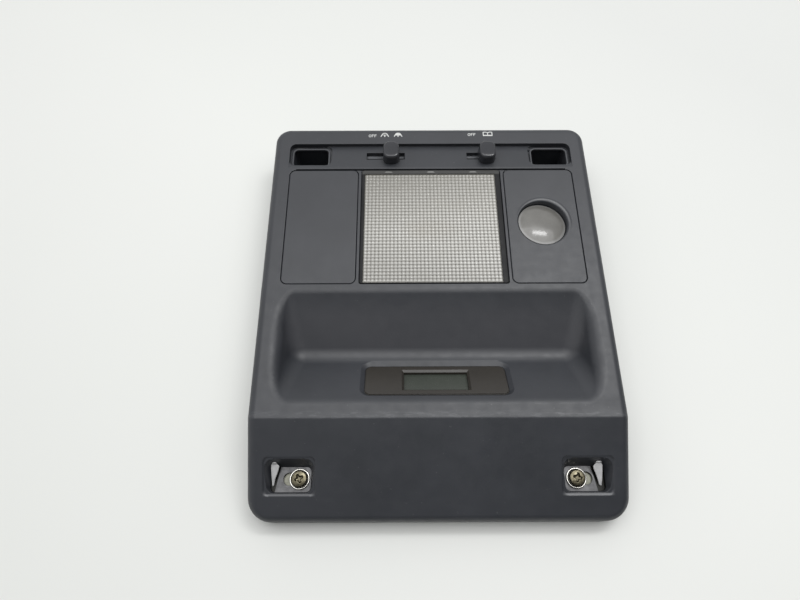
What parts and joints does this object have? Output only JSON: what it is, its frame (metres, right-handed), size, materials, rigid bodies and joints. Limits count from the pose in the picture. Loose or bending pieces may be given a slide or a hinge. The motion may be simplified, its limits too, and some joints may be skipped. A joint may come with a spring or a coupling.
{
  "type": "car roof console with dome lamp",
  "caption": "Car overhead console: moulded housing with prismatic dome lamp, tilted map lamp, blank cover, slide switches, rear-facing inset clock and slotted roof fixings.",
  "frame": {"origin": "centre of the rim plane that meets the roof lining", "axes": "+X to the map lamp side, +Y to the rear of the car, +Z out of the visible face"},
  "size_m": [0.204, 0.244, 0.0436],
  "materials": {
    "housing_plastic": "fine grained charcoal moulding",
    "panel_plastic": "fine grained charcoal moulding",
    "knob_plastic": "satin charcoal",
    "lens_clear": "clear acrylic with prism field",
    "lens_frosted": "frosted dome",
    "reflector_bright": "vacuum metallised",
    "bulb_glass": "clear bulb glass",
    "cap_metal": "nickel plated cap",
    "contact_brass": "spring brass",
    "fibre_board": "brown fibre board",
    "white_tray": "white enamelled pressing",
    "white_nylon": "natural nylon",
    "black_plastic": "black moulding",
    "smoked_plastic": "smoked brown window",
    "lcd_glass": "unlit display glass",
    "circuit_board": "green board",
    "small_screw": "zinc plated",
    "grey_steel": "dull grey plate",
    "bright_zinc": "bright zinc plate",
    "bright_ring": "bright plated washer",
    "gold_zinc": "yellow passivated zinc"
  },
  "bodies": {
    "console": {"blank_cover": "panel_plastic", "bracket_left": "grey_steel", "bracket_right": "grey_steel", "bracket_screw_left_front": "small_screw", "bracket_screw_left_rear": "small_screw", "bracket_screw_right_front": "small_screw", "bracket_screw_right_rear": "small_screw", "bulb_cap_left": "cap_metal", "bulb_cap_right": "cap_metal", "bulb_contact_left": "contact_brass", "bulb_contact_right": "contact_brass", "bulb_glass": "bulb_glass", "clock_bezel": "smoked_plastic", "clock_board": "circuit_board", "clock_case": "black_plastic", "clock_lcd": "lcd_glass", "clock_screw_left": "small_screw", "clock_screw_right": "small_screw", "console_housing": "housing_plastic", "contact_plate": "fibre_board", "dome_lens": "lens_clear", "dome_switch_base": "fibre_board", "dome_switch_body": "black_plastic", "dome_switch_screw_left": "small_screw", "dome_switch_screw_right": "small_screw", "lamp_tray": "white_tray", "map_bulb": "bulb_glass", "map_bulb_holder": "black_plastic", "map_lamp_panel": "panel_plastic", "map_lens": "lens_frosted", "map_reflector": "reflector_bright", "map_switch_base": "fibre_board", "map_switch_body": "black_plastic", "map_switch_screw_left": "small_screw", "map_switch_screw_right": "small_screw", "nut_plate_left": "bright_zinc", "nut_plate_right": "bright_zinc", "roof_screw_left": "gold_zinc", "roof_screw_right": "gold_zinc", "roof_washer_left": "bright_ring", "roof_washer_right": "bright_ring", "tray_screw_left_front": "small_screw", "tray_screw_left_rear": "small_screw", "tray_screw_right_front": "small_screw", "tray_screw_right_rear": "small_screw", "wiring_socket": "white_nylon"},
    "dome_slider": {"dome_switch_knob": "knob_plastic", "dome_switch_carriage": "white_nylon", "dome_switch_wiper": "contact_brass"},
    "map_slider": {"map_switch_knob": "knob_plastic", "map_switch_carriage": "white_nylon", "map_switch_wiper": "contact_brass"}
  },
  "joints": [
    {"name": "dome_switch_slide", "type": "slide", "parent": "console", "child": "dome_slider", "axis": [1, 0, 0], "range_m": [-0.0133, 0.0059]},
    {"name": "map_switch_slide", "type": "slide", "parent": "console", "child": "map_slider", "axis": [1, 0, 0], "range_m": [-0.01, 0.003]}
  ]
}
